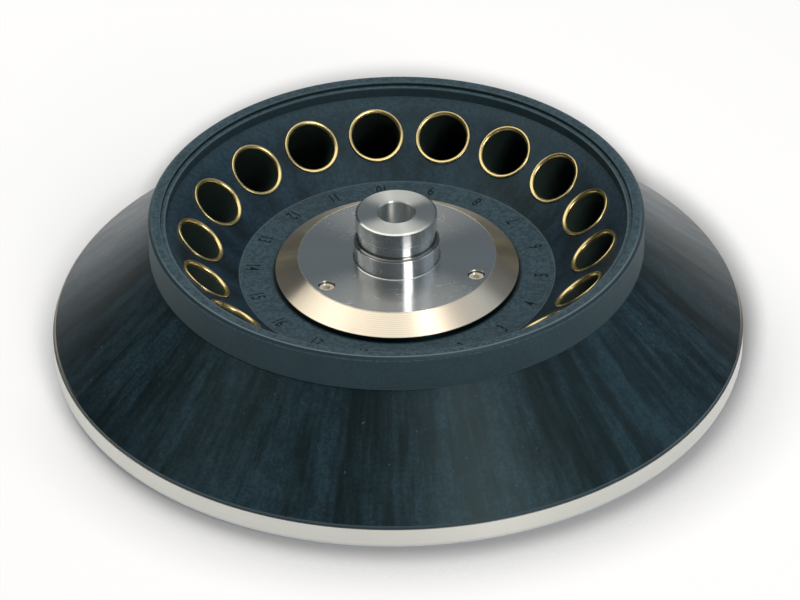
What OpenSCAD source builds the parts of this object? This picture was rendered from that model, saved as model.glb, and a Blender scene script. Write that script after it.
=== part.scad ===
// Fixed angle rotor for a bench centrifuge: a black moulded bowl and wind skirt over an
// aluminium pan, clamped on a turned hub, with a ring of drawn tube sleeves hung in the bowl.
// Millimetres. +Z is the spin axis, and z = 0 is the foot of the pan.

/* [Overall] */
// Diameter of the black wind skirt at its lower edge
skirt_d = 260; // [250:1:300]
// Height of the bowl's top edge over the foot
bowl_top_z = 59.2; // [56:0.1:66]
// Radial clearance between parts that plug into each other
plug_gap = 0.1; // [0.05:0.05:0.2]

/* [Pan] */
// Height of the pan's rim
pan_rim_h = 9; // [7:0.5:12]
// How far the pan's rim stands out past the skirt
pan_ledge = 0.5; // [0.2:0.1:1]
// Sheet thickness of the pan's floor
pan_floor_t = 2; // [1.5:0.1:3]
// Thickness of the pan's turned rim
pan_rim_t = 2.5; // [2:0.1:4]
// Outer radius along the pan's lower corner
pan_corner_r = 3; // [1:0.5:5]
// Diameter inside which the floor is pressed upward
pan_dish_d = 158; // [130:1:164]
// Height of the pressed-up floor over the foot
pan_dish_h = 4; // [2:0.5:6]

/* [Skirt] */
// Wall thickness of the skirt, square to its cone
skirt_t = 3; // [2:0.1:4]
// Height of the upright band along the skirt's lower edge
skirt_band_h = 1.5; // [0.5:0.1:3]
// Depth of the ring under the skirt that plugs into the pan
skirt_plug_h = 2.5; // [1.5:0.1:4]
// Thickness of that ring
skirt_plug_t = 2.5; // [2:0.1:3.5]
// Height of the ring on top of the skirt that plugs into the collar
skirt_neck_h = 3.4; // [2:0.1:4]
// Thickness of that ring
skirt_neck_t = 2.4; // [2:0.1:3]

/* [Bowl] */
// Outer diameter of the collar round the bowl
collar_d = 186; // [180:1:200]
// Height of the collar's outer wall
collar_h = 14.6; // [10:0.1:16]
// How far the collar stands out over the skirt's top edge
collar_lap = 0.4; // [0.2:0.1:1]
// Thickness of the collar's lip below the skirt's top edge ring
collar_lip_t = 2; // [1.5:0.1:2.5]
// Chamfer along the collar's outer top edge
collar_brow = 0.8; // [0.3:0.1:1.2]
// Chamfer along the collar's lower edge
collar_edge = 0.4; // [0.2:0.1:0.8]
// Chamfer between the collar's flat top and the lid step
step_edge = 0.2; // [0.1:0.1:0.5]
// Width of the collar's flat top
rim_land_w = 4.5; // [2.5:0.1:5]
// Depth of the lid step inside the collar
lid_step_h = 1.5; // [0.8:0.1:2.5]
// Width of the lid step
lid_step_w = 1.9; // [1:0.1:3]
// Height of the upright wall below the lid step
mouth_wall_h = 3.8; // [1:0.1:5]
// Wall thickness of the bowl's cone, square to it
bowl_t = 3.2; // [2.5:0.1:4]
// Diameter of the flat number ring at the bottom of the bowl
deck_d = 119; // [110:1:122]
// Thickness of the bowl's floor under the number ring
deck_t = 4; // [3:0.1:6]
// Diameter of the hole in the bowl's floor
deck_hole_d = 40; // [32:1:46]

/* [Tubes] */
// Number of tube places
tube_count = 18; // [6:1:20]
// Tilt of each tube from the spin axis
tube_tilt = 38; // [34:0.5:40]
// Diameter of the circle through the sleeve mouths
tube_circle_d = 148.5; // [146:0.5:150]
// Turn of the first place from the +X axis
first_place_turn = -90; // [-180:1:180]
// Bore of each sleeve
tube_bore_d = 17.5; // [16:0.1:18]
// Wall thickness of each sleeve
sleeve_t = 0.6; // [0.4:0.1:0.8]
// How much the bore opens out at the mouth, on its radius
mouth_flare = 0.2; // [0.1:0.05:0.4]
// Depth of the flared part of the bore below the seat
mouth_flare_h = 4.6; // [4.2:0.1:6]
// Width of the sleeve's rolled lip
lip_w = 1.6; // [1.4:0.1:1.8]
// Height of the lip over its seat
lip_h = 0.9; // [0.6:0.1:1.4]
// Radius along the lip's outer edge
lip_edge_r = 0.4; // [0.2:0.1:0.5]
// Clearance left between the sleeves' round ends and the pan
sleeve_end_gap = 0.5; // [0.3:0.1:2]

/* [Hub] */
// Diameter of the steel flange
flange_d = 92; // [86:1:96]
// Height of the flange's upright edge
flange_edge_h = 1.9; // [1:0.1:3]
// Diameter of the flange's flat top
flange_top_d = 74.6; // [72:0.2:80]
// Height of the flange's flat top over the number ring
flange_h = 7.3; // [6:0.1:9]
// Diameter of the drum at the foot of the knob
drum_d = 32.2; // [30:0.2:36]
// Height of the drum
drum_h = 7.7; // [6:0.1:10]
// Diameter of the waist between drum and head
waist_d = 28.8; // [26:0.2:29.4]
// Height of the waist
waist_h = 5.3; // [4:0.1:7]
// Radius at the foot of the waist
waist_fillet_r = 1.2; // [0.5:0.1:2]
// Radius at the foot of the drum
drum_fillet_r = 0.7; // [0.3:0.1:1]
// Diameter of the knob's head
head_d = 30.6; // [30:0.2:34]
// Height of the knob's head
head_h = 6.8; // [5:0.1:9]
// Chamfer width on top of the head
head_edge = 0.8; // [0.3:0.1:1.5]
// Diameter of the bore for the centrifuge's spindle
spindle_bore_d = 14; // [10:0.5:16]
// Chamfer at the bore's ends
bore_edge = 0.4; // [0.2:0.1:0.8]
// Diameter of the core's top plate, under the bowl
core_plate_d = 78; // [74:1:84]
// Thickness of the core's top plate
core_plate_t = 7; // [6:0.1:9]
// Diameter of the core between its plates
core_waist_d = 48; // [40:1:54]
// Diameter of the core's foot on the pan
core_foot_d = 72; // [68:1:80]
// Thickness of the core's foot
core_foot_t = 5; // [4:0.1:8]
// Diameter of the core's boss through the pan
core_boss_d = 44; // [38:1:46]
// Height of the boss's end over the foot plane
core_boss_z = 1; // [0.5:0.1:3]
// Width of the drive slot across the boss
drive_slot_w = 5; // [4:0.5:8]
// Depth of the drive slot
drive_slot_h = 5; // [3:0.5:7]

/* [Screws] */
// Number of screws in the flange, and of screws in the pan
screw_count = 3; // [3:1:6]
// Diameter of the circle through the flange screws
flange_screw_circle_d = 65; // [56:1:66]
// Diameter of the circle through the pan screws
pan_screw_circle_d = 58; // [56:1:60]
// Thread diameter of the screws
screw_d = 3; // [2.5:0.1:3.5]
// Head diameter of the flange screws
screw_head_d = 5.6; // [5:0.1:6]
// Head height of the flange screws
screw_head_h = 3; // [2.5:0.1:3.5]
// Width across the flats of the hexagon sockets
socket_af = 2.5; // [2:0.1:3]
// Depth of the hexagon sockets
socket_h = 1.4; // [1:0.1:1.6]
// How far the flange screws' heads lie below the flange's top
head_recess = 1; // [0.5:0.1:1.5]
// Radial clearance of screws in plain holes
screw_gap = 0.2; // [0.1:0.05:0.3]
// Radial clearance of flange screw heads in their counterbores
head_gap = 0.4; // [0.2:0.05:0.5]
// Radial clearance left for the thread in the core
thread_gap = 0.05; // [0.02:0.01:0.1]
// Thread length that the screws reach into the core
thread_grip = 5.5; // [4:0.1:6]
// Head height of the countersunk pan screws
pan_screw_head_h = 1.6; // [1:0.1:1.9]

/* [Hidden] */
$fn = 96;
sliver = 1; // how far a cutting shape runs past the face that it opens
dish_slope = 45; // slope of the step in the pan's floor
least_corner_r = 0.5; // sharpest inner corner that the pan's sheet takes

// Radii
skirt_r = skirt_d / 2;
pan_r = skirt_r + pan_ledge;
pan_inner_r = pan_r - pan_rim_t;
collar_r = collar_d / 2;
bowl_mouth_r = collar_r - rim_land_w - lid_step_w;
deck_r = deck_d / 2;
seat_pitch_r = tube_circle_d / 2;
bore_r = tube_bore_d / 2;
sleeve_r = bore_r + sleeve_t;
mouth_r = bore_r + mouth_flare;
lip_r = mouth_r + lip_w;

// Heights over the foot
pan_dish_top_z = pan_dish_h + pan_floor_t;
band_top_z = pan_rim_h + skirt_band_h;
collar_foot_z = bowl_top_z - collar_h;
lid_step_z = bowl_top_z - lid_step_h;
cone_top_z = lid_step_z - mouth_wall_h;
cone_rise = tan(tube_tilt);
deck_z = cone_top_z - (bowl_mouth_r - deck_r) * cone_rise;
deck_under_z = deck_z - deck_t;
flange_top_z = deck_z + flange_h;
drum_top_z = flange_top_z + drum_h;
head_foot_z = drum_top_z + waist_h;
knob_top_z = head_foot_z + head_h;
core_plate_z = deck_under_z - core_plate_t;

// Cone of the skirt: outer line from the band to the land under the collar, and the
// height at which its inner line has a given radius
land_r = collar_r - collar_lap;
skirt_run = (skirt_r - land_r) / (collar_foot_z - band_top_z);
skirt_wall_w = skirt_t * sqrt(1 + skirt_run * skirt_run);
function skirt_inner_z(r) = collar_foot_z - (r - land_r + skirt_wall_w) / skirt_run;
neck_r = collar_r - collar_lip_t - plug_gap;
neck_inner_r = neck_r - skirt_neck_t;
plug_r = pan_inner_r - plug_gap;
plug_inner_r = plug_r - skirt_plug_t;

// Height on the bowl's cone, and on its underside
function cone_z(r) = deck_z + (r - deck_r) * cone_rise;
bowl_drop = bowl_t / cos(tube_tilt);
collar_ceiling_z = collar_foot_z + skirt_neck_h + plug_gap;
collar_ceiling_r = deck_r + (collar_ceiling_z + bowl_drop - deck_z) / cone_rise;

// Sleeves: s runs along the tube from its seat, upward and towards the spin axis
seat_z = cone_z(seat_pitch_r);
sleeve_reach = (seat_z - pan_floor_t - sleeve_end_gap - sleeve_r) / cos(tube_tilt);
bell_r = lip_w - lip_edge_r; // the lip rolls over into the bore with this radius
seat_hole_r = sleeve_r + plug_gap;
spot_face_r = lip_r + plug_gap;
spot_face_h = 4; // how high over a seat the cone is cut away
seat_hole_depth = bowl_t + spot_face_h;
boss_hole_r = core_boss_d / 2 + plug_gap;

// Screws
flange_screw_z = flange_top_z - head_recess - screw_head_h;
flange_screw_len = flange_screw_z - deck_under_z + thread_grip;
pan_screw_len = pan_floor_t + thread_grip;
pan_screw_head_r = screw_d / 2 + pan_screw_head_h;
screw_turn = first_place_turn + 180 / screw_count;

function two_digits(n) = n < 10 ? str("0", n) : str(n);
function sleeve_name(n) = str("tube_sleeve_", two_digits(n));

// Points of an arc round (r, z), from one angle to the other, for a turned profile
function arc(r, z, radius, from, to, steps = 8) = [
    for (i = [0:steps])
        let (a = from + (to - from) * i / steps)
            [r + radius * cos(a), z + radius * sin(a)]
];

// Places what follows at tube place n, with +Z along the tube, out of its mouth
module at_place(n) {
    rotate([0, 0, first_place_turn + (n - 1) * 360 / tube_count])
        translate([seat_pitch_r, 0, seat_z])
            rotate([0, -tube_tilt, 0])
                children();
}

// Copies what follows round the spin axis, once for each screw
module screw_ring(circle_d) {
    for (i = [0:screw_count - 1])
        rotate([0, 0, screw_turn + i * 360 / screw_count])
            translate([circle_d / 2, 0, 0])
                children();
}

// Spun aluminium pan: a turned-up rim, and a floor pressed up in the middle
module base_pan() {
    dish_r = pan_dish_d / 2;
    dish_run = dish_r - pan_dish_h / tan(dish_slope);
    bend = pan_floor_t * tan(dish_slope / 2);
    inner_corner_r = max(pan_corner_r - pan_floor_t, least_corner_r);
    color([0.78, 0.78, 0.76])
        difference() {
            rotate_extrude()
                polygon(concat(
                    [[boss_hole_r, pan_dish_h], [dish_run, pan_dish_h], [dish_r, 0]],
                    arc(pan_r - pan_corner_r, pan_corner_r, pan_corner_r, -90, 0),
                    [[pan_r, pan_rim_h], [pan_inner_r, pan_rim_h]],
                    arc(pan_inner_r - inner_corner_r, pan_floor_t + inner_corner_r, inner_corner_r, 0, -90),
                    [[dish_r + bend, pan_floor_t], [dish_run + bend, pan_dish_top_z]],
                    [[boss_hole_r, pan_dish_top_z]]
                ));
            screw_ring(pan_screw_circle_d)
                translate([0, 0, pan_dish_h])
                    pan_screw_hole();
        }
}

// Countersunk hole through the pan's floor, with its mouth at z = 0
module pan_screw_hole() {
    head_r = pan_screw_head_r + screw_gap;
    shank_r = screw_d / 2 + screw_gap;
    translate([0, 0, -sliver])
        cylinder(r = head_r, h = sliver);
    cylinder(r1 = head_r, r2 = shank_r, h = pan_screw_head_h);
    cylinder(r = shank_r, h = pan_floor_t + sliver);
}

// Black wind skirt: a conical shell that plugs into the pan below and the collar above
module wind_skirt() {
    neck_top_z = collar_foot_z + skirt_neck_h;
    plug_foot_z = pan_rim_h - skirt_plug_h;
    color([0.10, 0.14, 0.17])
        rotate_extrude()
            polygon([
                [skirt_r, pan_rim_h],
                [skirt_r, band_top_z],
                [land_r, collar_foot_z],
                [neck_r, collar_foot_z],
                [neck_r, neck_top_z],
                [neck_inner_r, neck_top_z],
                [neck_inner_r, skirt_inner_z(neck_inner_r)],
                [plug_inner_r, skirt_inner_z(plug_inner_r)],
                [plug_inner_r, plug_foot_z],
                [plug_r, plug_foot_z],
                [plug_r, pan_rim_h]
            ]);
}

// Black moulded bowl: collar, lid step, cone with the sleeve seats, and number ring
module tube_bowl() {
    cone_under_r = deck_r + (bowl_drop - deck_t) / cone_rise;
    color([0.17, 0.22, 0.25])
        difference() {
            rotate_extrude()
                polygon([
                    [deck_hole_d / 2, deck_z],
                    [deck_r, deck_z],
                    [bowl_mouth_r, cone_top_z],
                    [bowl_mouth_r, lid_step_z],
                    [bowl_mouth_r + lid_step_w, lid_step_z],
                    [bowl_mouth_r + lid_step_w, bowl_top_z - step_edge],
                    [bowl_mouth_r + lid_step_w + step_edge, bowl_top_z],
                    [collar_r - collar_brow, bowl_top_z],
                    [collar_r, bowl_top_z - collar_brow],
                    [collar_r, collar_foot_z + collar_edge],
                    [collar_r - collar_edge, collar_foot_z],
                    [collar_r - collar_lip_t, collar_foot_z],
                    [collar_r - collar_lip_t, collar_ceiling_z],
                    [collar_ceiling_r, collar_ceiling_z],
                    [cone_under_r, deck_under_z],
                    [deck_hole_d / 2, deck_under_z]
                ]);
            for (n = [1:tube_count])
                at_place(n) {
                    translate([0, 0, -seat_hole_depth])
                        cylinder(r = seat_hole_r, h = seat_hole_depth + spot_face_h);
                    cylinder(r = spot_face_r, h = spot_face_h);
                }
            screw_ring(flange_screw_circle_d)
                translate([0, 0, deck_under_z - sliver])
                    cylinder(r = screw_d / 2 + screw_gap, h = deck_t + 2 * sliver);
        }
}

// Drawn brass sleeve at place n: rolled lip, bell mouth, straight bore and round end
module tube_sleeve(n) {
    color([0.80, 0.68, 0.38])
        at_place(n)
            rotate_extrude()
                polygon(concat(
                    arc(0, -sleeve_reach, sleeve_r, -90, 0, 12),
                    [[sleeve_r, 0], [lip_r, 0]],
                    arc(lip_r - lip_edge_r, lip_h - lip_edge_r, lip_edge_r, 0, 90, 4),
                    arc(lip_r - lip_edge_r, lip_h - bell_r, bell_r, 90, 180),
                    [[bore_r, -mouth_flare_h]],
                    arc(0, -sleeve_reach, bore_r, 0, -90, 12)
                ));
}

// Core under the bowl: carries the bowl, stands on the pan and takes the spindle
module hub_core() {
    foot_top_z = pan_dish_top_z + core_foot_t;
    core_bore_r = spindle_bore_d / 2;
    color([0.62, 0.63, 0.64])
        difference() {
            rotate_extrude()
                polygon([
                    [core_bore_r + bore_edge, core_boss_z],
                    [core_boss_d / 2, core_boss_z],
                    [core_boss_d / 2, pan_dish_top_z],
                    [core_foot_d / 2, pan_dish_top_z],
                    [core_foot_d / 2, foot_top_z],
                    [core_waist_d / 2, foot_top_z],
                    [core_waist_d / 2, core_plate_z],
                    [core_plate_d / 2, core_plate_z],
                    [core_plate_d / 2, deck_under_z],
                    [core_bore_r, deck_under_z],
                    [core_bore_r, core_boss_z + bore_edge]
                ]);
            // Slot across the boss, in line with the first place, for the centrifuge's driver pin
            rotate([0, 0, first_place_turn])
                translate([-core_boss_d / 2 - sliver, -drive_slot_w / 2, core_boss_z - sliver])
                    cube([core_boss_d + 2 * sliver, drive_slot_w, drive_slot_h + sliver]);
            screw_ring(flange_screw_circle_d)
                translate([0, 0, core_plate_z - sliver])
                    cylinder(r = screw_d / 2 + thread_gap, h = core_plate_t + 2 * sliver);
            screw_ring(pan_screw_circle_d)
                translate([0, 0, pan_dish_top_z - sliver])
                    cylinder(r = screw_d / 2 + thread_gap, h = thread_grip + 2 * sliver);
        }
}

// Steel flange and knob, turned in one piece
module hub_flange() {
    bore = spindle_bore_d / 2;
    spigot_r = deck_hole_d / 2 - plug_gap;
    spigot_foot_z = deck_under_z + plug_gap;
    drum_r = drum_d / 2;
    waist_r = waist_d / 2;
    head_r = head_d / 2;
    color([0.72, 0.71, 0.69])
        difference() {
            rotate_extrude()
                polygon(concat(
                    [[bore, spigot_foot_z], [spigot_r, spigot_foot_z], [spigot_r, deck_z]],
                    [[flange_d / 2, deck_z], [flange_d / 2, deck_z + flange_edge_h]],
                    [[flange_top_d / 2, flange_top_z]],
                    arc(drum_r + drum_fillet_r, flange_top_z + drum_fillet_r, drum_fillet_r, -90, -180, 5),
                    [[drum_r, drum_top_z - bore_edge], [drum_r - bore_edge, drum_top_z]],
                    arc(waist_r + waist_fillet_r, drum_top_z + waist_fillet_r, waist_fillet_r, -90, -180, 6),
                    [[waist_r, head_foot_z], [head_r - bore_edge, head_foot_z]],
                    [[head_r, head_foot_z + bore_edge]],
                    [[head_r, knob_top_z - head_edge / 2], [head_r - head_edge, knob_top_z]],
                    [[bore + bore_edge, knob_top_z], [bore, knob_top_z - bore_edge]]
                ));
            screw_ring(flange_screw_circle_d) {
                translate([0, 0, flange_screw_z])
                    cylinder(r = screw_head_d / 2 + head_gap, h = flange_h);
                translate([0, 0, deck_z - sliver])
                    cylinder(r = screw_d / 2 + screw_gap, h = flange_h);
            }
        }
}

// Hexagon socket, cut down from z = 0
module hex_socket() {
    translate([0, 0, -socket_h])
        cylinder(r = socket_af / sqrt(3), h = socket_h + sliver, $fn = 6);
}

// Cap screws that hold the flange and the bowl on the core
module flange_screws() {
    color([0.75, 0.75, 0.74])
        screw_ring(flange_screw_circle_d)
            translate([0, 0, flange_screw_z])
                difference() {
                    union() {
                        cylinder(r = screw_head_d / 2, h = screw_head_h);
                        translate([0, 0, -flange_screw_len])
                            cylinder(r = screw_d / 2, h = flange_screw_len + sliver);
                    }
                    translate([0, 0, screw_head_h])
                        hex_socket();
                }
}

// Countersunk screws that hold the pan on the core, heads down
module pan_screws() {
    color([0.75, 0.75, 0.74])
        screw_ring(pan_screw_circle_d)
            translate([0, 0, pan_dish_h])
                difference() {
                    rotate_extrude()
                        polygon([
                            [0, 0],
                            [pan_screw_head_r, 0],
                            [screw_d / 2, pan_screw_head_h],
                            [screw_d / 2, pan_screw_len],
                            [0, pan_screw_len]
                        ]);
                    mirror([0, 0, 1])
                        hex_socket();
                }
}

base_pan();
wind_skirt();
tube_bowl();
hub_core();
hub_flange();
flange_screws();
pan_screws();
for (n = [1:tube_count])
    tube_sleeve(n);
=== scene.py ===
# %% [markdown]
# # A fixed angle rotor
#
# This lesson dresses a finished CAD model of a centrifuge rotor. The rotor is a black moulded bowl
# with a ring of brass-lipped tube sleeves, a black wind skirt under it, an aluminium pan at the
# foot and a turned steel hub. The solids come with the frame, in metres, and none of them moves.
# What is left for Blender is the finish of every surface, the place numbers on the deck, the light
# and the camera.

import math

import bpy
from mathutils import Matrix, Vector


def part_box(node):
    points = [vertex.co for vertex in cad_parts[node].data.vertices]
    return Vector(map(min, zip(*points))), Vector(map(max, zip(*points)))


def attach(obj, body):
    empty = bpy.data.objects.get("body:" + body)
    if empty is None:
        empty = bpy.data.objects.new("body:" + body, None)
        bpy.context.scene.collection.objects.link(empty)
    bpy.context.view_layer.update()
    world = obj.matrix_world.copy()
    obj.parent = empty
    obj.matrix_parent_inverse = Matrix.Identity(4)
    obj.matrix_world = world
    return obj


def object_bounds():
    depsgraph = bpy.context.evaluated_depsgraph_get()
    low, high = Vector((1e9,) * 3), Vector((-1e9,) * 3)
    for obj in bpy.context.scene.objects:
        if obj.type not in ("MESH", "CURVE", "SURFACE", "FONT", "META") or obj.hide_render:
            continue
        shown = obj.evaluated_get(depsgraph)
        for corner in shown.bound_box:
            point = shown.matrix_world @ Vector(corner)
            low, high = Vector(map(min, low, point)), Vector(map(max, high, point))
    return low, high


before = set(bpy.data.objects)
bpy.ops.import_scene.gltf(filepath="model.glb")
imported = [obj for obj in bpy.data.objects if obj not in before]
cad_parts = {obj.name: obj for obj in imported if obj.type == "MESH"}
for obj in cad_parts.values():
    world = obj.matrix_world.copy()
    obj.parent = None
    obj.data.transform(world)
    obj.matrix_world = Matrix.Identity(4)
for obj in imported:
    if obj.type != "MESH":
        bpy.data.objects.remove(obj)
cad_low, cad_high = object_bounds()
print("CAD model, mm:", [round(1000 * (high - low), 1) for low, high in zip(cad_low, cad_high)])

# %% [markdown]
# The main sizes are named once. Those that a solid's box gives are read off the loaded solids, and
# the others follow from the named sizes of the CAD source.

# %% Sizes of the rotor, in metres
MM = 0.001
PLACES = 18
FIRST_PLACE = math.radians(-90)
PLACE_STEP = 2 * math.pi / PLACES
TILT = math.radians(38)
SEAT_RADIUS = 74.25 * MM
BORE_RADIUS = 8.75 * MM
DECK_RADIUS = 59.5 * MM
PAN_RADIUS = cad_high[0]
SKIRT_BAND_TOP = 10.5 * MM
COLLAR_HEIGHT = 14.6 * MM
LID_RADIUS = 88.5 * MM
LID_STEP = 1.5 * MM
MOUTH_RADIUS = 86.6 * MM
BEVEL_RADIUS = 37.3 * MM
SPINDLE_RADIUS = 7.0 * MM
FLANGE_HEIGHT = 7.3 * MM
DRUM_HEIGHT = 7.7 * MM
WAIST_HEIGHT = 5.3 * MM
HEAD_HEIGHT = 6.8 * MM

bowl_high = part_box("tube_bowl")[1]
COLLAR_RADIUS = bowl_high.x
COLLAR_TOP = bowl_high.z
flange_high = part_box("hub_flange")[1]
FLANGE_RADIUS = flange_high.x
KNOB_TOP = flange_high.z
FLANGE_TOP = KNOB_TOP - HEAD_HEIGHT - WAIST_HEIGHT - DRUM_HEIGHT
DECK_HEIGHT = FLANGE_TOP - FLANGE_HEIGHT
SEAT_HEIGHT = DECK_HEIGHT + (SEAT_RADIUS - DECK_RADIUS) * math.tan(TILT)
heights = [round(height / MM, 3) for height in (DECK_HEIGHT, SEAT_HEIGHT, FLANGE_TOP)]
print("deck, seat and flange top, mm:", heights)

# %% [markdown]
# A long lens from a good distance keeps the ellipses of a turned part calm. The camera looks down
# at the rotor by about 35 degrees, from a little to the left of the first tube place, and is
# rolled by a degree. A camera looks along its own -Z, so its matrix is built from three vectors.

# %% Camera
VIEW_TURN = math.radians(-5.66)
VIEW_ELEVATION = math.radians(35.37)
VIEW_ROLL = math.radians(-0.91)
VIEW_DISTANCE = 2.9146
VIEW_TARGET = Vector((0.9 * MM, 0, 19.35 * MM))
LENS = 347.3
SENSOR_WIDTH = 36
FAR_CLIP = 20

turn = Matrix.Rotation(VIEW_TURN, 3, "Z")
back = turn @ Vector((0, -math.cos(VIEW_ELEVATION), math.sin(VIEW_ELEVATION)))
level_right = turn @ Vector((1, 0, 0))
level_up = back.cross(level_right)
right = math.cos(VIEW_ROLL) * level_right + math.sin(VIEW_ROLL) * level_up
up = math.cos(VIEW_ROLL) * level_up - math.sin(VIEW_ROLL) * level_right
camera_place = turn @ VIEW_TARGET + back * VIEW_DISTANCE
camera_turn = Matrix((right, up, back)).transposed().to_euler()
bpy.ops.object.camera_add(location=camera_place, rotation=camera_turn)
camera = bpy.context.object
camera.name = "camera"
camera.data.lens = LENS
camera.data.sensor_width = SENSOR_WIDTH
camera.data.clip_end = FAR_CLIP
bpy.context.scene.camera = camera
bpy.context.scene.view_settings.view_transform = "Standard"
print("camera at", [round(v, 3) for v in camera.location])

# %% [markdown]
# Every finish is worked out from nodes. A small class wraps one socket, and its operators add the
# Math nodes, so a mask reads like a line of arithmetic. `Finish` holds one material and its
# shader, and its method `node` adds any node. The other methods are short ways to call it.

# %% A class for sockets, and one for materials
class Value:
    """A number that changes over the surface: one output socket of a material's nodes."""

    def __init__(self, finish, socket):
        self.finish = finish
        self.socket = socket

    def math(self, operation, *others):
        inputs = dict(enumerate((self,) + others))
        return self.finish.node("ShaderNodeMath", {"operation": operation}, inputs)

    def __add__(self, other):
        return self.math("ADD", other)

    def __sub__(self, other):
        return self.math("SUBTRACT", other)

    def __mul__(self, other):
        return self.math("MULTIPLY", other)

    def __truediv__(self, other):
        return self.math("DIVIDE", other)

    def __pow__(self, other):
        return self.math("POWER", other)

    def __radd__(self, other):
        return self.math("ADD", other)

    def __rmul__(self, other):
        return self.math("MULTIPLY", other)

    def __rsub__(self, other):
        return (self * -1).math("ADD", other)

    def __rtruediv__(self, other):
        return (self ** -1).math("MULTIPLY", other)

    def step(self, low, high):
        """0 below low, 1 above high, and a smooth rise between them."""
        inputs = {0: self, 1: low, 2: high, 3: 0.0, 4: 1.0}
        settings = {"interpolation_type": "SMOOTHSTEP"}
        return self.finish.node("ShaderNodeMapRange", settings, inputs)

    def clip(self):
        return self.step(0.0, 1.0)

    def near(self, centre, inner, outer):
        """1 within the inner distance of a centre, and 0 beyond the outer one."""
        return 1 - (self - centre).math("ABSOLUTE").step(inner, outer)


class Finish:
    """A material with one Principled shader."""

    def __init__(self, name, **constants):
        self.material = bpy.data.materials.new(name)
        self.material.use_nodes = True
        self.tree = self.material.node_tree
        self.shader = self.tree.nodes["Principled BSDF"]
        for socket, value in constants.items():
            self.shader.inputs[socket.replace("_", " ")].default_value = value
        self.place = self.node("ShaderNodeTexCoord", {}, {}, "Object")
        parts = [self.node("ShaderNodeSeparateXYZ", {}, {0: self.place}, axis) for axis in "XYZ"]
        self.x, self.y, self.z = parts
        self.radius = (self.x * self.x + self.y * self.y).math("SQRT")
        self.angle = self.y.math("ARCTAN2", self.x)

    def node(self, kind, settings, inputs, output=0):
        made = self.tree.nodes.new(kind)
        for name, value in settings.items():
            setattr(made, name, value)
        for key, value in inputs.items():
            if isinstance(value, Value):
                self.tree.links.new(value.socket, made.inputs[key])
            else:
                made.inputs[key].default_value = value
        return Value(self, made.outputs[output])

    def vector(self, x, y, z):
        return self.node("ShaderNodeCombineXYZ", {}, {0: x, 1: y, 2: z})

    def noise(self, vector, scale, detail=2.0, roughness=0.5):
        inputs = {"Vector": vector, "Scale": scale, "Detail": detail, "Roughness": roughness}
        return self.node("ShaderNodeTexNoise", {}, inputs)

    def blend(self, mask, first, second):
        """The first colour where the mask is 0, and the second where it is 1."""
        inputs = {0: mask, 6: first, 7: second}
        return self.node("ShaderNodeMix", {"data_type": "RGBA"}, inputs, 2)

    def tint(self, colour, factor):
        """The colour, made lighter or darker by a number."""
        grey = self.node("ShaderNodeCombineColor", {}, {0: factor, 1: factor, 2: factor})
        settings = {"data_type": "RGBA", "blend_type": "MULTIPLY"}
        return self.node("ShaderNodeMix", settings, {0: 1.0, 6: colour, 7: grey}, 2)

    def bump(self, height, depth, normal=None):
        """A normal from a height of 0 to 1 that stands for a real depth in metres."""
        inputs = {"Strength": 1.0, "Distance": depth, "Height": height}
        if normal is not None:
            inputs["Normal"] = normal
        return self.node("ShaderNodeBump", {}, inputs)

    def feed(self, **sockets):
        for name, value in sockets.items():
            self.tree.links.new(value.socket, self.shader.inputs[name.replace("_", " ")])


def colour(red, green, blue):
    """A colour given as a screen shows it, from 0 to 255, as the linear values of a shader."""
    screen = [value / 255 for value in (red, green, blue)]
    linear = [((v + 0.055) / 1.055) ** 2.4 if v > 0.04 else v / 12.92 for v in screen]
    return (*linear, 1.0)


def layer(finish, base, layers):
    """A colour with others laid over it in turn, each one where its mask is 1."""
    for mask, tone in layers:
        base = finish.blend(mask, base, tone)
    return base


def wear(finish, *names):
    """Gives a finish to CAD nodes."""
    for name in names:
        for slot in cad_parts[name].material_slots:
            slot.material = finish.material
    print(finish.material.name, "on", len(names), "node(s)")


# %% [markdown]
# The wind skirt is a black moulded cone with a satin skin. Its pale streaks run down the cone, so
# their noise changes much more with the angle round the axis than with the radius. The angle goes
# in as a point on a circle, which leaves no seam where the angle jumps from 180 to -180 degrees.
# The upright band at its foot is paler, and a painted highlight runs along the edge over the
# band at the back.

# %% Black plastic of the wind skirt
def round_vector(finish, turns, along):
    """A vector for noise that closes round the axis, with one rate round it and one outwards."""
    return finish.vector(
        finish.x / finish.radius * turns,
        finish.y / finish.radius * turns,
        finish.radius * along,
    )


PLASTIC_SHEEN = (0.62, 0.9, 1.0, 1.0)
GRAIN_SCALE = 2600.0
skirt_finish = Finish("skirt_plastic", Specular_IOR_Level=0.45, Specular_Tint=PLASTIC_SHEEN)
broad = skirt_finish.noise(round_vector(skirt_finish, 2.2, 12.0), 1.0, 2.0).step(0.35, 0.65)
streak = skirt_finish.noise(round_vector(skirt_finish, 12.0, 24.0), 1.0, 3.0, 0.6)
streak = streak.step(0.36, 0.62)
thin_streak = skirt_finish.noise(round_vector(skirt_finish, 46.0, 60.0), 1.0, 2.0, 0.6)
thin_streak = thin_streak.step(0.3, 0.7)
mottle = skirt_finish.noise(skirt_finish.place, 170.0, 3.0, 0.65)
stipple = skirt_finish.noise(skirt_finish.place, 760.0, 3.0, 0.7)
grain = skirt_finish.noise(skirt_finish.place, GRAIN_SCALE, 1.0)
speck = skirt_finish.noise(skirt_finish.place, 620.0, 0.0).step(0.83, 0.88)
on_band = 1 - skirt_finish.z.step(SKIRT_BAND_TOP - 0.1 * MM, SKIRT_BAND_TOP + 0.1 * MM)
# A painted highlight along the edge over the band, towards the back
band_edge_highlight = skirt_finish.radius.step(PAN_RADIUS - 1.2 * MM, PAN_RADIUS - 0.9 * MM)
band_edge_highlight = band_edge_highlight * skirt_finish.y.step(-45 * MM, 10 * MM) * (1 - on_band)

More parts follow.
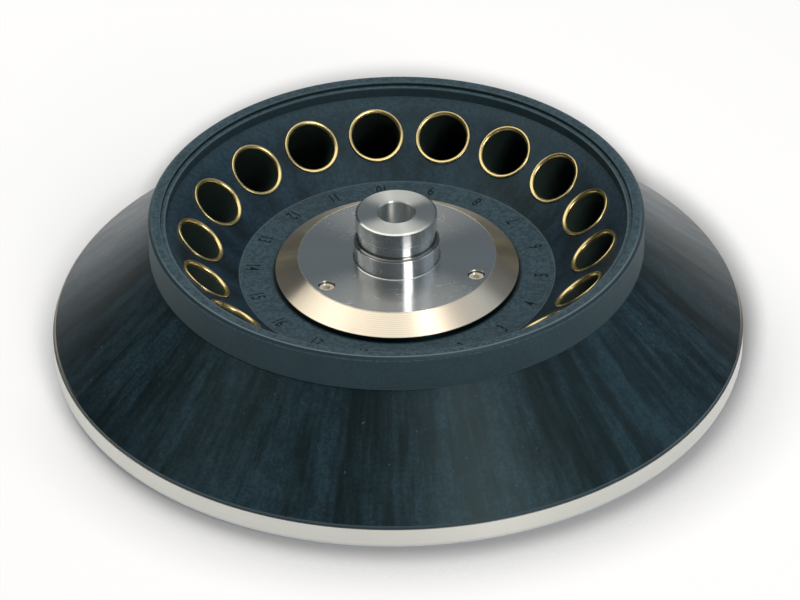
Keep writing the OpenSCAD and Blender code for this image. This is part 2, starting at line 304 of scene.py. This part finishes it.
pale = (broad * 0.25 + streak * 0.5 + thin_streak * 0.25) * (0.34 + mottle)
skin = skirt_finish.blend(pale.clip(), colour(2, 16, 21), colour(34, 58, 71))
skin = skirt_finish.tint(skin, 0.7 + stipple.step(0.34, 0.66) * 0.6)
skirt_colour = layer(skirt_finish, skin, (
    (on_band * 0.7, colour(50, 68, 80)),
    (band_edge_highlight * 0.7, colour(205, 196, 182)),
    (speck * 0.3, colour(110, 126, 132)),
))
skirt_rough = 0.35 - pale * 0.04 + stipple * 0.1 + (thin_streak - 0.5) * 0.06
skirt_bump = skirt_finish.bump(grain * 0.5 + stipple * 0.5, 0.035 * MM)
skirt_finish.feed(Base_Color=skirt_colour, Roughness=skirt_rough, Normal=skirt_bump)
wear(skirt_finish, "wind_skirt")

# %% [markdown]
# The bowl is one moulding, but its faces don't look alike: the collar's wall is dull and greener,
# the cone inside is smeared by years of wiping, and the number ring is finely speckled. Masks made
# from the radius and the height tell these faces apart. Thin masks along the edges add painted
# highlights as pale lines and painted shade as dark ones.

# %% Black plastic of the bowl
bowl_finish = Finish("bowl_plastic", Specular_IOR_Level=0.42, Specular_Tint=PLASTIC_SHEEN)
radius = bowl_finish.radius
below_top = COLLAR_TOP - bowl_finish.z
on_wall = radius.step(COLLAR_RADIUS - 0.3 * MM, COLLAR_RADIUS - 0.1 * MM)
on_deck = 1 - radius.step(DECK_RADIUS, DECK_RADIUS + 0.1 * MM)
on_rim = bowl_finish.z.step(COLLAR_TOP - LID_STEP - 0.2 * MM, COLLAR_TOP - LID_STEP - 0.1 * MM)
under_lid = below_top.step(LID_STEP + 0.4 * MM, LID_STEP + 0.6 * MM)
to_front = (bowl_finish.y / radius * -1).step(0.0, 0.7)

# The rim's outer chamfer, and painted highlights at its top edge and the collar's foot, most at the
# front
brow = (radius + bowl_finish.z).step(
    COLLAR_RADIUS + COLLAR_TOP - 1.0 * MM, COLLAR_RADIUS + COLLAR_TOP - 0.85 * MM
)
brow_highlight = radius.near(COLLAR_RADIUS - 1.2 * MM, 0.2 * MM, 0.55 * MM)
brow_highlight = brow_highlight * on_rim * (to_front * 0.6 + 0.1)
collar_foot_highlight = on_wall * below_top.near(COLLAR_HEIGHT, 0.35 * MM, 0.6 * MM) * to_front

# The lid step's wall, with painted shade low on it and a painted highlight on its upper edge,
# and the mouth's wall in painted shade under a painted highlight along its lip
at_step = radius.near(LID_RADIUS, 0.2 * MM, 0.3 * MM)
low_on_step = below_top.step(0.45 * MM, 0.6 * MM)
shaded_mouth_wall = radius.step(MOUTH_RADIUS - 0.3 * MM, MOUTH_RADIUS - 0.1 * MM)
shaded_mouth_wall = shaded_mouth_wall * under_lid * (1 - on_wall)
mouth_lip_highlight = radius.near(MOUTH_RADIUS + 0.3 * MM, 0.2 * MM, 0.5 * MM) * (1 - under_lid)

# The top of the cone, a painted highlight on the number ring's edge, and a painted contact
# shadow round the flange
cone_top = radius.step(MOUTH_RADIUS - 7.0 * MM, MOUTH_RADIUS - 0.8 * MM)
deck_edge_highlight = radius.near(DECK_RADIUS, 0.15 * MM, 0.3 * MM)
flange_contact_shadow = on_deck * (1 - radius.step(FLANGE_RADIUS + 0.3 * MM, FLANGE_RADIUS + 1.5 * MM))

cloud = bowl_finish.noise(bowl_finish.place, 55.0, 3.0, 0.6)
smear = bowl_finish.noise(round_vector(bowl_finish, 7.0, 70.0), 1.0, 3.0, 0.65)
fine = bowl_finish.noise(bowl_finish.place, 720.0, 3.0, 0.7)
bowl_grain = bowl_finish.noise(bowl_finish.place, GRAIN_SCALE, 1.0)
dust = fine.step(0.36, 0.64)

pale_cone = cloud.step(0.35, 0.65) * 0.4 + smear.step(0.35, 0.65) * 0.6
cone_colour = bowl_finish.blend(pale_cone, colour(6, 20, 29), colour(30, 51, 69))
cone_colour = bowl_finish.blend(cone_top * 0.75, cone_colour, colour(44, 64, 80))
cone_colour = bowl_finish.tint(cone_colour, 0.7 + dust * 0.6)
wall_colour = bowl_finish.tint(colour(43, 63, 71), 0.55 + cloud * 0.5 + dust * 0.25)
deck_colour = bowl_finish.blend(on_rim, colour(51, 71, 85), colour(58, 78, 92))
deck_colour = bowl_finish.tint(deck_colour, 0.5 + cloud * 0.3 + dust * 0.7)
bowl_colour = layer(bowl_finish, cone_colour, (
    (on_wall, wall_colour),
    ((on_deck + on_rim).clip(), deck_colour),
    (deck_edge_highlight * 0.5, colour(88, 104, 112)),
    (brow, colour(40, 58, 68)),
    (brow_highlight, colour(118, 136, 148)),
    (collar_foot_highlight * 0.7, colour(82, 100, 112)),
    (at_step * low_on_step, colour(24, 42, 48)),
    (at_step * (1 - low_on_step) * 0.6, colour(92, 108, 115)),
    (shaded_mouth_wall * 0.6, colour(34, 54, 64)),
    (mouth_lip_highlight * 0.6, colour(84, 104, 116)),
    (flange_contact_shadow * 0.85, colour(6, 14, 16)),
))
bowl_rough = 0.44 - smear * 0.08 + fine * 0.12 + on_wall * 0.12 + on_deck * 0.05
bowl_bump = bowl_finish.bump(bowl_grain * 0.5 + fine * 0.5, 0.04 * MM)
bowl_finish.feed(Base_Color=bowl_colour, Roughness=bowl_rough, Normal=bowl_bump)
wear(bowl_finish, "tube_bowl")

# %% [markdown]
# Turned metal owes its look to the fine grooves that the tool leaves round the axis. A noise that
# reads only the radius and the height gives such rings, and a bump turns them into grooves. The
# anisotropic shader, turned by a quarter, stretches the highlights across them.

# %% Grooves of turned metal
def grooves(finish, per_mm):
    """Rings round the axis, about so many to a millimetre."""
    along = finish.vector(finish.radius, finish.z, 0.0)
    return finish.noise(along, per_mm / MM, 2.0, 0.6)


def scratches(finish, turn_deg, length_mm, gate):
    """Short thin scratches that run about one way, where a patchy noise is above a gate."""
    settings = {"vector_type": "POINT"}
    inputs = {
        "Vector": finish.place,
        "Rotation": (0.0, 0.0, math.radians(turn_deg)),
        "Scale": (1 / (length_mm * MM), 18 / (length_mm * MM), 1.0),
    }
    stretched = finish.node("ShaderNodeMapping", settings, inputs)
    line = (finish.noise(stretched, 1.0, 1.0) - 0.5).math("ABSOLUTE")
    patch = finish.noise(finish.place, 90.0 + turn_deg, 1.0).step(gate, gate + 0.05)
    return (1 - line.step(0.004, 0.012)) * patch


# %% [markdown]
# The pan is spun aluminium with a satin, pale rim. Its grooves are shallow, and its lowest edge is
# painted darker and bluer, a painted shade where the rim curves under. The core under the hub is
# turned from the same metal. It is hardly seen, so the rings alone make its finish.

# %% Aluminium of the pan and the core
TURNED = {"Anisotropic": 0.75, "Anisotropic_Rotation": 0.25}
pan_finish = Finish("pan_metal", Metallic=1.0, **TURNED)
pan_rings = grooves(pan_finish, 3.0)
pan_cloud = pan_finish.noise(pan_finish.place, 40.0, 3.0)
# Painted shade on the lowest edge, where the rim curves under
low_edge_shade = 1 - pan_finish.z.step(0.5 * MM, 3.0 * MM)
pan_colour = pan_finish.tint(colour(206, 206, 200), 0.92 + pan_cloud * 0.1 + pan_rings * 0.06)
pan_colour = pan_finish.blend(low_edge_shade * 0.5, pan_colour, colour(150, 160, 168))
pan_rough = 0.34 + pan_cloud * 0.12
pan_finish.feed(
    Base_Color=pan_colour,
    Roughness=pan_rough,
    Normal=pan_finish.bump(pan_rings, 0.01 * MM),
)
wear(pan_finish, "base_pan")

core_finish = Finish("core_metal", Metallic=1.0, Roughness=0.3, **TURNED)
core_rings = grooves(core_finish, 2.0)
core_finish.feed(
    Base_Color=core_finish.tint(colour(190, 191, 192), 0.9 + core_rings * 0.15),
    Normal=core_finish.bump(core_rings, 0.012 * MM),
)
wear(core_finish, "hub_core")

# %% [markdown]
# The hub is polished steel. Its flat top is nearly a mirror with a few scratches, and the bevel
# round it still has its coarse turning lines and shines in one bright sector. A sine of the radius
# draws the lines. They lie mostly in the colour as painted shade, with only a trace of bump, which
# leaves the sector whole. The bevel's steel is painted paler and warmer than the flat's, a painted
# warm sheen. Painted shade darkens the top of the drum and the foot of the waist, a painted
# highlight runs round the foot of the knob's head, and the flange's upright edge is painted dark
# as shade.

# %% Steel of the hub
BEVEL_PITCH = 0.72 * MM
hub_finish = Finish("hub_steel", Metallic=1.0, Anisotropic=0.95, Anisotropic_Rotation=0.25)
on_bevel = hub_finish.radius.step(BEVEL_RADIUS, BEVEL_RADIUS + 0.1 * MM)
bevel_edge = hub_finish.radius.near(BEVEL_RADIUS, 0.12 * MM, 0.26 * MM)
# The flange's upright edge, which is painted dark as shade
flange_edge_shade = hub_finish.radius.step(FLANGE_RADIUS - 0.25 * MM, FLANGE_RADIUS - 0.05 * MM)
in_bore = 1 - hub_finish.radius.step(SPINDLE_RADIUS + 0.1 * MM, SPINDLE_RADIUS + 0.3 * MM)
outside_bore = 1 - in_bore
on_knob_top = hub_finish.z.step(KNOB_TOP - 0.2 * MM, KNOB_TOP - 0.1 * MM)
# Painted shade over the top of the drum and the foot of the waist
over_drum = hub_finish.z - (FLANGE_TOP + DRUM_HEIGHT)
drum_top_shade = over_drum.step(-0.15 * MM, 0.0) * (1 - over_drum.step(0.9 * MM, 1.6 * MM)) * outside_bore
# A painted highlight along the foot of the knob's head
over_waist = over_drum - WAIST_HEIGHT
head_highlight = over_waist.step(-0.05 * MM, 0.0) * (1 - over_waist.step(0.3 * MM, 0.45 * MM))
head_highlight = head_highlight * outside_bore
wave = (hub_finish.radius * (2 * math.pi / BEVEL_PITCH)).math("SINE")
groove_shade = on_bevel * (wave * 0.5 + 0.5)
hub_cloud = hub_finish.noise(hub_finish.place, 45.0, 2.0)
marks = scratches(hub_finish, 25, 8, 0.63) + scratches(hub_finish, 110, 6, 0.64)
marks = (marks + scratches(hub_finish, 160, 10, 0.66)).clip()

# The bevel's steel is painted paler and warmer than the flat's, a painted warm sheen
steel = hub_finish.blend(on_bevel, colour(204, 210, 216), colour(252, 243, 230))
steel = hub_finish.tint(steel, 0.97 + hub_cloud * 0.06 - groove_shade * 0.14)
hub_colour = layer(hub_finish, steel, (
    ((on_knob_top + in_bore) * 0.8, colour(226, 232, 235)),
    ((bevel_edge + marks * 0.4).clip(), colour(246, 243, 236)),
    (drum_top_shade * 0.6, colour(70, 76, 74)),
    (head_highlight, colour(252, 240, 214)),
    (flange_edge_shade, colour(38, 56, 58)),
))
hub_rough = 0.22 + on_bevel * 0.06 + head_highlight * 0.3 + marks * 0.12
hub_rough = hub_rough + bevel_edge * 0.25 + in_bore * 0.15 + on_knob_top * 0.09
hub_finish.feed(
    Base_Color=hub_colour,
    Roughness=hub_rough,
    Normal=hub_finish.bump(on_bevel * wave.step(0.5, 0.95), 0.0008 * MM),
)
wear(hub_finish, "hub_flange")

# %% [markdown]
# The screws are small and pale, with a finely blasted head. At their size one fine noise is enough
# for the colour, the roughness and the bump together.

# %% Steel of the screws
screw_finish = Finish("screw_steel", Metallic=1.0)
screw_cloud = screw_finish.noise(screw_finish.place, 1500.0, 2.0)
screw_finish.feed(
    Base_Color=screw_finish.tint(colour(238, 232, 222), 0.85 + screw_cloud * 0.2),
    Roughness=0.36 + screw_cloud * 0.2,
    Normal=screw_finish.bump(screw_cloud, 0.02 * MM),
)
wear(screw_finish, "flange_screws", "pan_screws")

# %% [markdown]
# All the sleeves wear one brass finish, so it has to find the middle of the sleeve that it is on.
# The angle round the rotor is folded onto a single place, and the radius and height are then turned
# into distances along and across that tube. The bore is blackened from just inside the lip.

# %% Brass of the sleeves
COAT_DEPTH = 0.8 * MM
sleeve_finish = Finish("sleeve_brass")
folded = (sleeve_finish.angle - FIRST_PLACE) / PLACE_STEP
offset = (folded - folded.math("ROUND")) * PLACE_STEP
outward = sleeve_finish.radius * offset.math("COSINE") - SEAT_RADIUS
sideways = sleeve_finish.radius * offset.math("SINE")
height = sleeve_finish.z - SEAT_HEIGHT
along_tube = height * math.cos(TILT) - outward * math.sin(TILT)
across_tube = height * math.sin(TILT) + outward * math.cos(TILT)
from_axis = (sideways * sideways + across_tube * across_tube).math("SQRT")
brass_cloud = sleeve_finish.noise(sleeve_finish.place, 350.0, 3.0, 0.6)
brass_rub = sleeve_finish.noise(sleeve_finish.place, 1400.0, 1.0)
inside = 1 - from_axis.step(BORE_RADIUS + 0.35 * MM, BORE_RADIUS + 0.4 * MM)
over_coat = along_tube + COAT_DEPTH - brass_cloud * (0.12 * MM)
in_sleeve = inside * (1 - over_coat.step(-0.06 * MM, 0.06 * MM))
brass_colour = sleeve_finish.tint(colour(222, 205, 152), 0.9 + brass_cloud * 0.15)
sleeve_colour = sleeve_finish.blend(in_sleeve, brass_colour, colour(36, 52, 50))
sleeve_finish.feed(
    Base_Color=sleeve_colour,
    Metallic=1 - in_sleeve,
    Roughness=0.24 + brass_cloud * 0.1 + in_sleeve * 0.2,
    Normal=sleeve_finish.bump(brass_rub, 0.0008 * MM),
)
sleeves = [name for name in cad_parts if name.startswith("tube_sleeve")]
wear(sleeve_finish, *sleeves)

# %% [markdown]
# Each place has its number stamped on the deck, with its head towards the hub. The numbers are
# plain text that is made a mesh, laid flat and set round the axis. They stand a hair above the
# deck, filled with a dull black.

# %% Place numbers
NUMBER_RADIUS = 54.7 * MM
NUMBER_HEIGHT = 5.4 * MM
NUMBER_SQUEEZE = 0.6
NUMBER_LIFT = 0.02 * MM
NUMBER_WEIGHT = 0.012

ink_finish = Finish("number_ink", Roughness=0.6, Specular_IOR_Level=0.2)
ink_cloud = ink_finish.noise(ink_finish.place, 900.0, 2.0)
ink_finish.feed(Base_Color=ink_finish.tint(colour(12, 21, 25), 0.5 + ink_cloud))


def place_number(place):
    """One number, as a mesh that lies on the deck at its place."""
    bpy.ops.object.select_all(action="DESELECT")
    bpy.ops.object.text_add(location=(0, 0, 0))
    number = bpy.context.object
    number.name = f"place_number_{place:02d}"
    number.data.body = str(place)
    number.data.size = NUMBER_HEIGHT
    number.data.align_x = "CENTER"
    number.data.align_y = "CENTER"
    number.data.offset = NUMBER_WEIGHT * NUMBER_HEIGHT
    bpy.ops.object.convert(target="MESH")
    growth = NUMBER_HEIGHT / number.dimensions.y
    number.scale = (growth * NUMBER_SQUEEZE, growth, 1)
    turn_round = FIRST_PLACE + (place - 1) * PLACE_STEP
    number.location = (
        NUMBER_RADIUS * math.cos(turn_round),
        NUMBER_RADIUS * math.sin(turn_round),
        DECK_HEIGHT + NUMBER_LIFT,
    )
    number.rotation_euler = (0, 0, turn_round + math.pi / 2)
    bpy.ops.object.transform_apply(location=True, rotation=True, scale=True)
    number.data.materials.clear()
    number.data.materials.append(ink_finish.material)
    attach(number, "root")
    return number


numbers = [place_number(place) for place in range(1, PLACES + 1)]
print("numbers on the deck:", len(numbers))

# %% [markdown]
# The rotor stands on a pale, plain floor, which glows a little so that it comes out white. Two
# shades lie on it. One is soft contact shade, found with ambient occlusion, and deeper at the
# front. The other is a wide soft shade round the back of the rotor. It follows the outlines of the
# collar and the pan as the main view shows them.

# %% Floor
FLOOR_SIZE = 12.0
FLOOR_GLOW = 0.4
CONTACT_REACH = 0.034
LEAST_LIGHT = 0.4
bpy.ops.object.select_all(action="DESELECT")
bpy.ops.mesh.primitive_plane_add(size=FLOOR_SIZE, location=(0, 0, cad_low[2]))
floor = bpy.context.object
floor.name = "floor"
floor_finish = Finish(
    "floor_paper", Roughness=0.9, Specular_IOR_Level=0.0, Emission_Color=(1, 1, 1, 1)
)
rays = ("Is Camera Ray", "Is Glossy Ray", "Is Transmission Ray")
seen, mirrored, through = [floor_finish.node("ShaderNodeLightPath", {}, {}, ray) for ray in rays]
close = floor_finish.node(
    "ShaderNodeAmbientOcclusion", {"samples": 8}, {"Distance": CONTACT_REACH}, "AO"
)

# The share of open sky is raised to a power, which grows towards the front and the right
depth = floor_finish.x * 2.5 - floor_finish.y * 14.6 + 0.52
depth = depth.math("MAXIMUM", 0.35).math("MINIMUM", 2.6)
contact = (close ** depth).math("MAXIMUM", LEAST_LIGHT)

across = floor_finish.x * math.cos(VIEW_TURN) + floor_finish.y * math.sin(VIEW_TURN)
behind = floor_finish.y * math.cos(VIEW_TURN) - floor_finish.x * math.sin(VIEW_TURN)
squash = math.sin(VIEW_ELEVATION)


def shadow(radius, height, spread):
    """1 where a level circle hides the floor in the main view, fading to 0 at a spread outside."""
    away = behind - height / math.tan(VIEW_ELEVATION)
    level = (across * across + away * away).math("SQRT")
    squashed = (across * across + away * away * squash**2).math("SQRT")
    return 1 - ((level - radius) * squashed / level).step(-1.0 * MM, spread)


to_right = (across / floor_finish.radius).step(-0.2, 1.0)
past_middle = behind.step(-60 * MM, 20 * MM)
collar_shadow = shadow(COLLAR_RADIUS, COLLAR_TOP, 11.0 * MM) * 0.46
pan_shadow = shadow(PAN_RADIUS, SKIRT_BAND_TOP, 12.0 * MM) * past_middle * (0.14 + to_right * 0.4)
shade = 1 - seen * (1 - contact * ((1 - collar_shadow) * (1 - pan_shadow)))
glow = (seen + mirrored * 1.3 + through) * shade * FLOOR_GLOW
floor_finish.feed(
    Base_Color=floor_finish.tint(colour(226, 230, 240), shade),
    Emission_Strength=glow,
)
floor.data.materials.append(floor_finish.material)
print("floor at z =", round(floor.location.z, 4))

# %% [markdown]
# The lamps do most of the work on bare metal. A wide soft box hangs over the rotor, and the bright
# sector of the bevel is its mirror image. A tall window to the right of the camera gives the white
# stripe down the hub, and a large dim card stands to the right.

# %% Lights
BOX_PLACE = (-0.28, 0.26, 1.0)
UPWARD = Vector((0, 0, 1))
WINDOW_WAY = (-60, 35)
WINDOW_DISTANCE = 1.6
CARD_WAY = (5, 38)
CARD_DISTANCE = 1.8


def aim(azimuth_deg, elevation_deg):
    """A direction from the rotor, with the azimuth counted from the camera's right."""
    azimuth = math.radians(azimuth_deg) + VIEW_TURN
    elevation = math.radians(elevation_deg)
    level = math.cos(elevation)
    return Vector((level * math.cos(azimuth), level * math.sin(azimuth), math.sin(elevation)))


def soft_light(name, place, facing, width, height, radiance, tint):
    """A rectangular lamp that faces back along a direction. Its power follows from its radiance."""
    bpy.ops.object.light_add(type="AREA", location=place)
    lamp = bpy.context.object
    lamp.name = name
    lamp.rotation_euler = facing.to_track_quat("Z", "Y").to_euler()
    lamp.data.shape = "RECTANGLE"
    lamp.data.size = width
    lamp.data.size_y = height
    lamp.data.energy = radiance * width * height * math.pi
    lamp.data.color = tint
    print(name, "power, W:", round(lamp.data.energy, 2))
    return lamp


box = soft_light(
    "overhead_box",
    turn @ Vector(BOX_PLACE),
    UPWARD,
    width=1.55,
    height=1.08,
    radiance=1.62,
    tint=(1.0, 0.93, 0.79),
)
box.rotation_euler.z = VIEW_TURN
window_way = aim(*WINDOW_WAY)
soft_light(
    "side_window",
    window_way * WINDOW_DISTANCE,
    window_way,
    width=0.5,
    height=0.9,
    radiance=6.5,
    tint=(1.0, 0.91, 0.81),
)
card_way = aim(*CARD_WAY)
soft_light(
    "side_card",
    card_way * CARD_DISTANCE,
    card_way,
    width=1.1,
    height=1.0,
    radiance=0.4,
    tint=(0.86, 0.95, 1.0),
)

# %% [markdown]
# The world is a dim grey room, with a paler ring about 35 degrees above the horizon. It keeps its
# strength on the right, towards +X, and fades out on the left.

# %% World
world = bpy.data.worlds.new("studio")
bpy.context.scene.world = world
world.use_nodes = True
nodes = world.node_tree.nodes
links = world.node_tree.links
direction = nodes.new("ShaderNodeTexCoord")
parts = nodes.new("ShaderNodeSeparateXYZ")
links.new(direction.outputs["Generated"], parts.inputs[0])

# Each tone goes with the Z of the direction that it is seen in
ROOM_TONES = (
    (0.0, (0.2, 0.19, 0.18, 1)),
    (0.08, (0.09, 0.095, 0.1, 1)),
    (0.42, (0.09, 0.1, 0.105, 1)),
    (0.58, (0.2, 0.22, 0.225, 1)),
    (0.85, (0.12, 0.13, 0.14, 1)),
    (1.0, (0.10, 0.11, 0.12, 1)),
)
ramp = nodes.new("ShaderNodeValToRGB")
stops = ramp.color_ramp.elements
stops[0].color = ROOM_TONES[0][1]
stops[1].color = ROOM_TONES[-1][1]
for position, tone in ROOM_TONES[1:-1]:
    stop = stops.new(position)
    stop.color = tone
links.new(parts.outputs["Z"], ramp.inputs[0])
links.new(ramp.outputs[0], nodes["Background"].inputs[0])


def scale_and_add(value, factor):
    """A Math node that multiplies a socket by a factor. Its third input is added."""
    node = nodes.new("ShaderNodeMath")
    node.operation = "MULTIPLY_ADD"
    node.inputs[1].default_value = factor
    links.new(value, node.inputs[0])
    return node


aside = nodes.new("ShaderNodeMath")
aside.operation = "ABSOLUTE"
links.new(parts.outputs["X"], aside.inputs[0])
fade = scale_and_add(aside.outputs[0], -0.6)
fade.inputs[2].default_value = 1.0
strength = scale_and_add(parts.outputs["X"], 0.55)
links.new(fade.outputs[0], strength.inputs[2])
links.new(strength.outputs[0], nodes["Background"].inputs[1])
